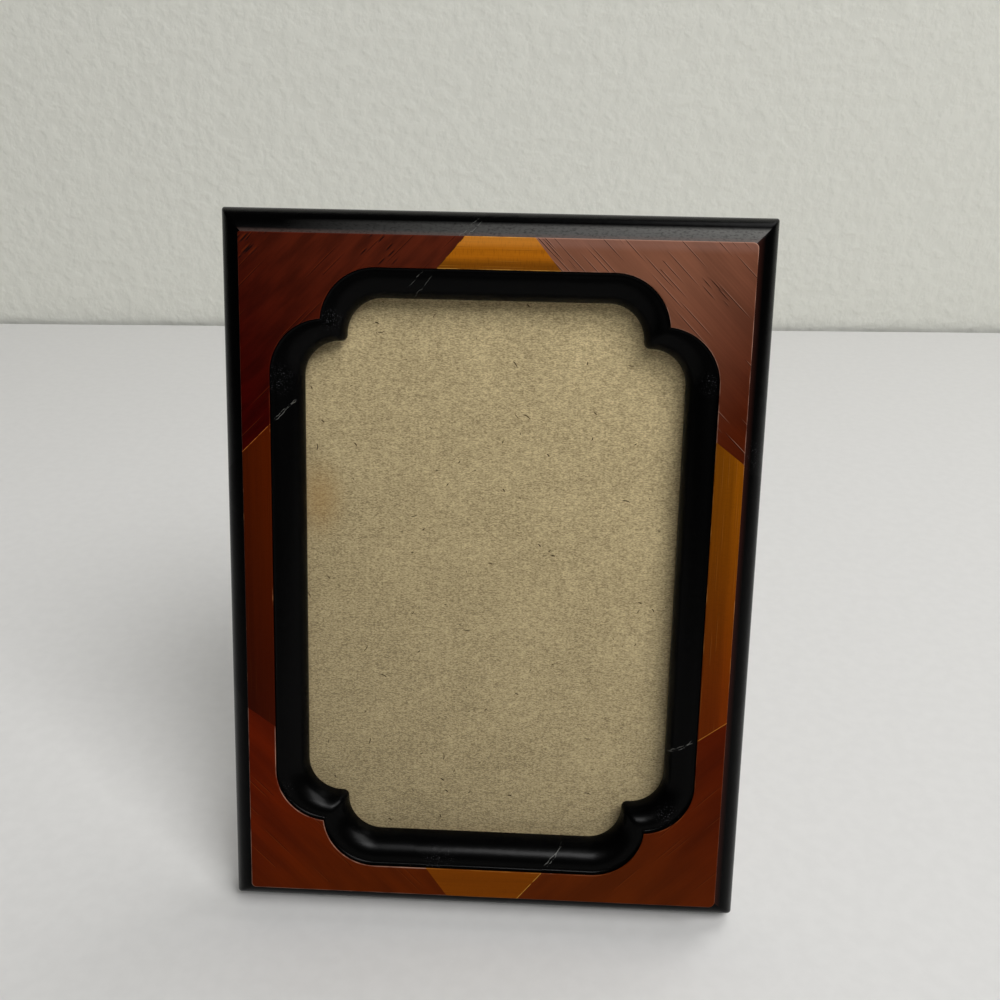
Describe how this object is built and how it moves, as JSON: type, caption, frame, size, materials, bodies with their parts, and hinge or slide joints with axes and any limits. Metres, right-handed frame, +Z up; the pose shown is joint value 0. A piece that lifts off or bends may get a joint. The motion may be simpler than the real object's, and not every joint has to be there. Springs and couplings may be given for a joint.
{
  "type": "picture frame",
  "caption": "Small standing picture frame of dark and amber wood segments with black routed edges, a lobed glazed opening and a folding strut at the back.",
  "frame": {"origin": "middle of the standing frame's box, on the surface it stands on", "axes": "+Z up, the picture faces -Y, +X to the right as seen from the front"},
  "size_m": [0.118, 0.0776, 0.1555],
  "materials": {
    "mahogany": "dark red hardwood, clear gloss lacquer, edges blacked",
    "amber_wood": "amber hardwood, clear gloss lacquer, edges blacked",
    "clear_glass": "clear picture glass",
    "chipboard": "bare grey-brown chipboard",
    "hardboard": "board faced with dark paper",
    "strut_board": "board faced with dark paper",
    "steel": "plated pressed steel",
    "brass": "dull brass plating"
  },
  "bodies": {
    "frame": {"corner_block_top_right": "mahogany", "corner_block_top_left": "mahogany", "corner_block_bottom_left": "mahogany", "corner_block_bottom_right": "mahogany", "rail_top": "amber_wood", "rail_bottom": "amber_wood", "stile_left": "amber_wood", "stile_right": "amber_wood", "glass_pane": "clear_glass", "picture_card": "chipboard", "backing_board": "hardboard", "hinge_bracket": "steel", "hinge_pin": "steel", "bracket_rivet_left": "steel", "bracket_rivet_right": "steel", "button_screw_top_right": "brass", "button_screw_top_left": "brass", "button_screw_bottom_left": "brass", "button_screw_bottom_right": "brass"},
    "strut": {"easel_strut": "strut_board"},
    "button_top_right": {"turn_button_top_right": "brass"},
    "button_top_left": {"turn_button_top_left": "brass"},
    "button_bottom_left": {"turn_button_bottom_left": "brass"},
    "button_bottom_right": {"turn_button_bottom_right": "brass"}
  },
  "joints": [
    {"name": "strut_fold", "type": "hinge", "parent": "frame", "child": "strut", "pos_m": [0, 0.00727, 0.11006], "axis": [-1, 0, 0], "range_deg": [0, 30]},
    {"name": "turn_top_right", "type": "hinge", "parent": "frame", "child": "button_top_right", "pos_m": [0.0521, 0.00626, 0.11944], "axis": [0, -0.9659, 0.2588], "continuous": true},
    {"name": "turn_top_left", "type": "hinge", "parent": "frame", "child": "button_top_left", "pos_m": [-0.0521, 0.00626, 0.11944], "axis": [0, -0.9659, 0.2588], "continuous": true},
    {"name": "turn_bottom_left", "type": "hinge", "parent": "frame", "child": "button_bottom_left", "pos_m": [-0.0521, -0.01667, 0.03386], "axis": [0, -0.9659, 0.2588], "continuous": true},
    {"name": "turn_bottom_right", "type": "hinge", "parent": "frame", "child": "button_bottom_right", "pos_m": [0.0521, -0.01667, 0.03386], "axis": [0, -0.9659, 0.2588], "continuous": true}
  ]
}
